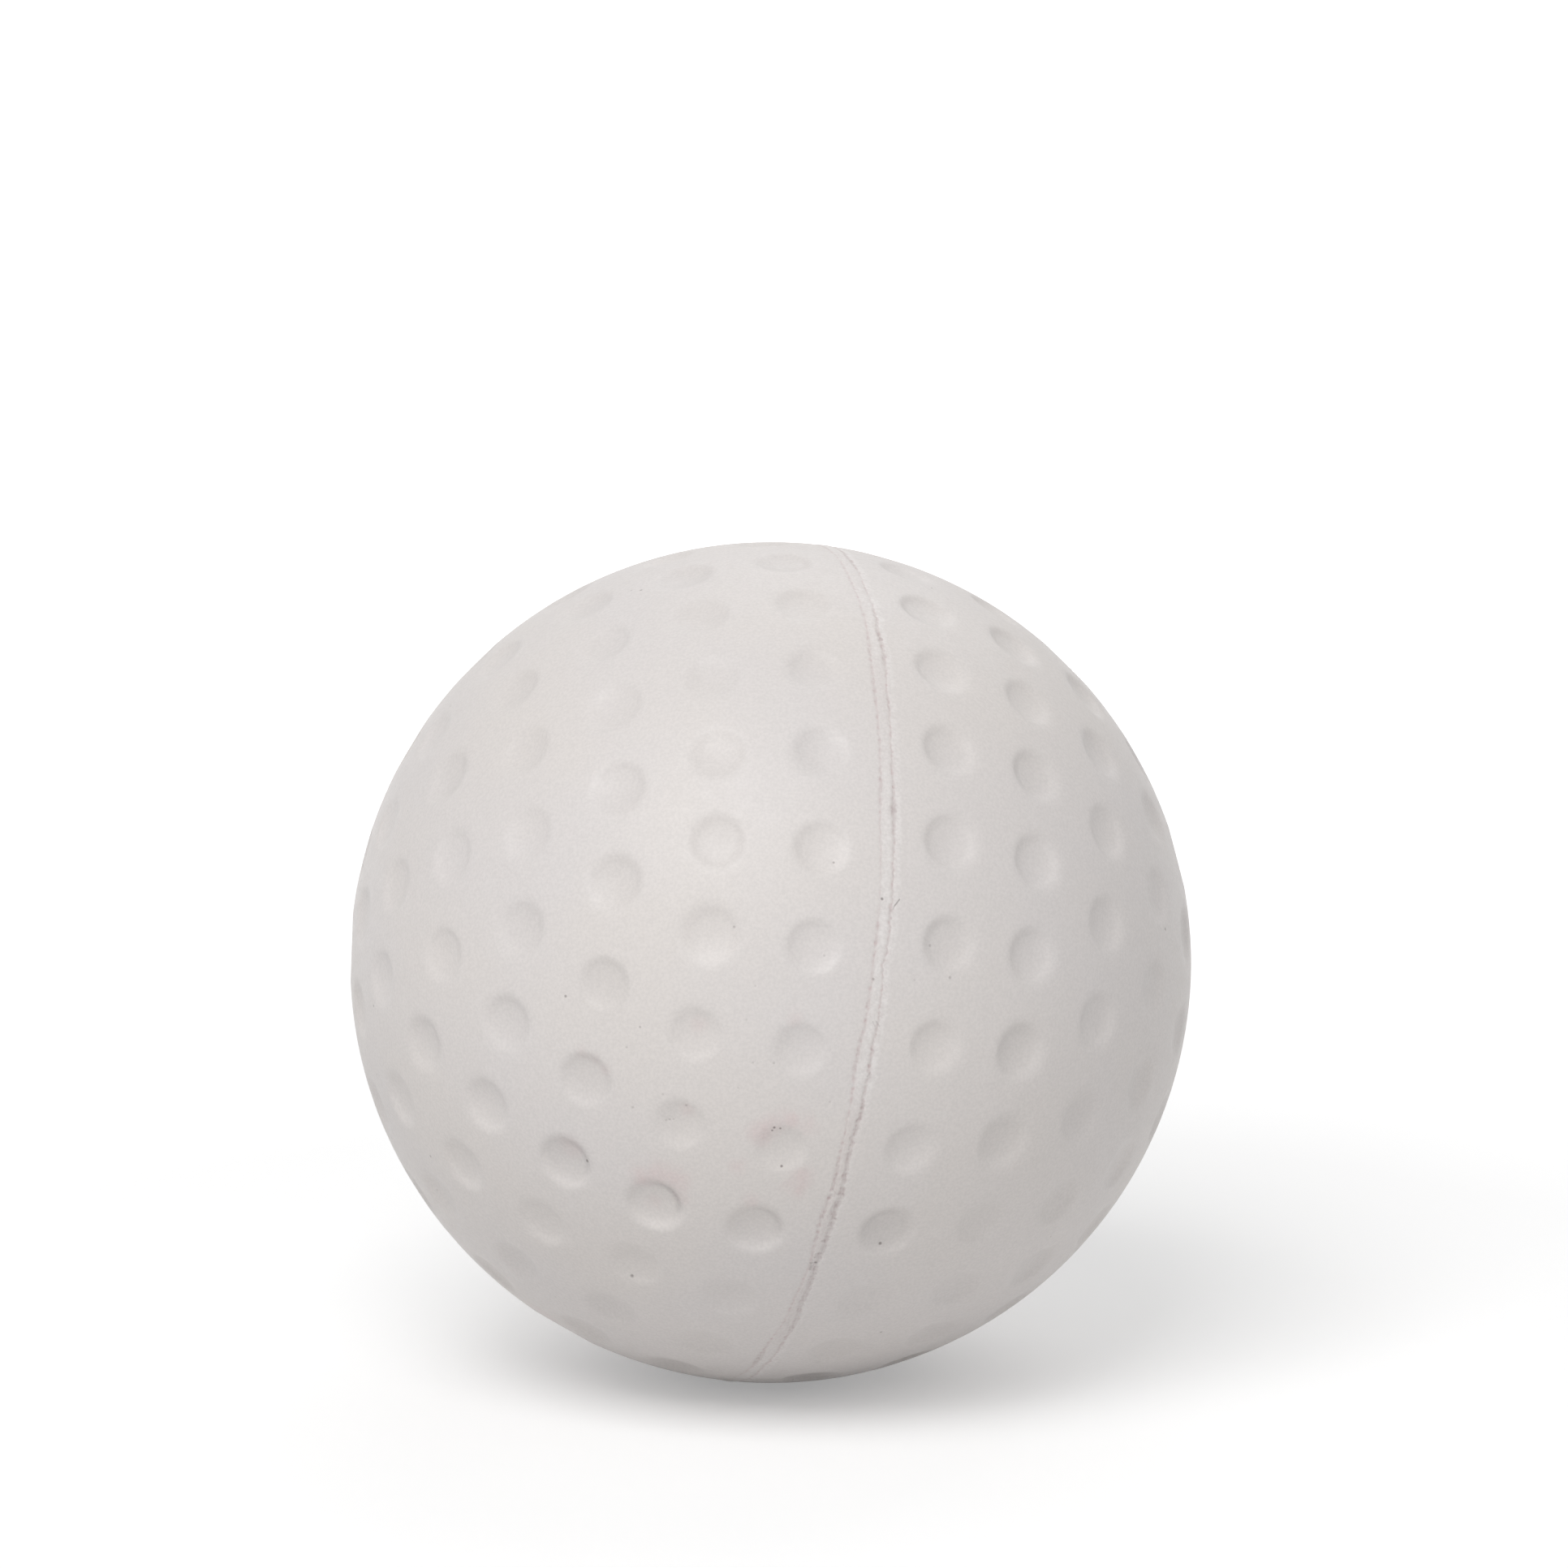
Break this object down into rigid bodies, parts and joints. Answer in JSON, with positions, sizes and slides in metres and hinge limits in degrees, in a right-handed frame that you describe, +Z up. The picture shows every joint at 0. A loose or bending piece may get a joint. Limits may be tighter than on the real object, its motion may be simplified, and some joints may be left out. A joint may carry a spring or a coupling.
{
  "type": "field hockey ball",
  "caption": "Solid moulded ball for field hockey, with rows of shallow round dimples and a trimmed mould seam all round.",
  "frame": {"origin": "centre of the ball", "axes": "+Z up and -Y towards the viewer, as the ball lies in the picture. The mould axis is turned 12.8 degrees from +X about +Z and dips 9.2 degrees, so the seam stands nearly upright right of the middle of the front."},
  "size_m": [0.073, 0.073, 0.073],
  "materials": {
    "ball": "satin off-white moulded plastic"
  },
  "bodies": {
    "root": {"ball": "ball"}
  },
  "joints": []
}
